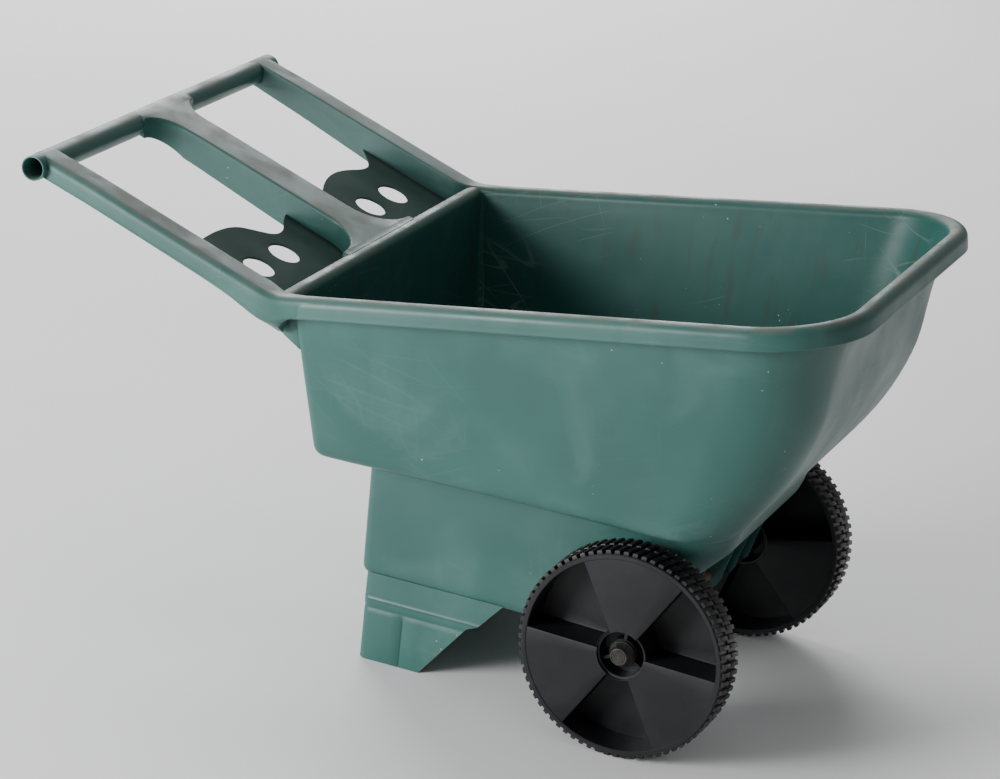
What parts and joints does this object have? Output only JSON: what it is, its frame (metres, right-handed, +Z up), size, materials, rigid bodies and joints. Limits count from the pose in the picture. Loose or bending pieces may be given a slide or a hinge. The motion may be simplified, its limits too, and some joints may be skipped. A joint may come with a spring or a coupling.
{
  "type": "garden cart",
  "caption": "Two-wheel moulded garden cart with a deep tub, integral handle frame with tool holes, stand foot and ribbed plastic wheels.",
  "frame": {"origin": "middle of the bounding box on the ground plane", "axes": "+X towards the nose and the wheels, +Y to the left of someone pushing, +Z up; the axle runs along Y"},
  "size_m": [1.0036, 0.6134, 0.5816],
  "materials": {
    "green_plastic": "satin moulded poly, dusty and scuffed",
    "black_plastic": "satin moulded, dusty tread",
    "zinc_steel": "zinc plated, dull with light rust",
    "bare_steel": "plain rod with surface rust"
  },
  "bodies": {
    "root": {"tub_basin": "green_plastic", "tub_rim": "green_plastic", "rear_bar": "green_plastic", "lower_well": "green_plastic", "stand_foot": "green_plastic", "handle_crossbar": "green_plastic", "handle_spar": "green_plastic", "handle_rail_left": "green_plastic", "handle_rail_right": "green_plastic", "tool_plate_left": "green_plastic", "tool_plate_right": "green_plastic", "rail_gusset_left": "green_plastic", "rail_gusset_right": "green_plastic", "axle_saddle_left": "green_plastic", "axle_saddle_right": "green_plastic", "axle_rod": "bare_steel", "washer_inner_left": "zinc_steel", "washer_inner_right": "zinc_steel", "washer_outer_left": "zinc_steel", "washer_outer_right": "zinc_steel", "axle_cap_left": "zinc_steel", "axle_cap_right": "zinc_steel"},
    "left_wheel": {"wheel_left": "black_plastic"},
    "right_wheel": {"wheel_right": "black_plastic"}
  },
  "joints": [
    {"name": "left_wheel_spin", "type": "hinge", "parent": "root", "child": "left_wheel", "pos_m": [0.2752, 0.2129, 0.127], "axis": [0, 1, 0], "continuous": true},
    {"name": "right_wheel_spin", "type": "hinge", "parent": "root", "child": "right_wheel", "pos_m": [0.2752, -0.2129, 0.127], "axis": [0, 1, 0], "continuous": true}
  ]
}
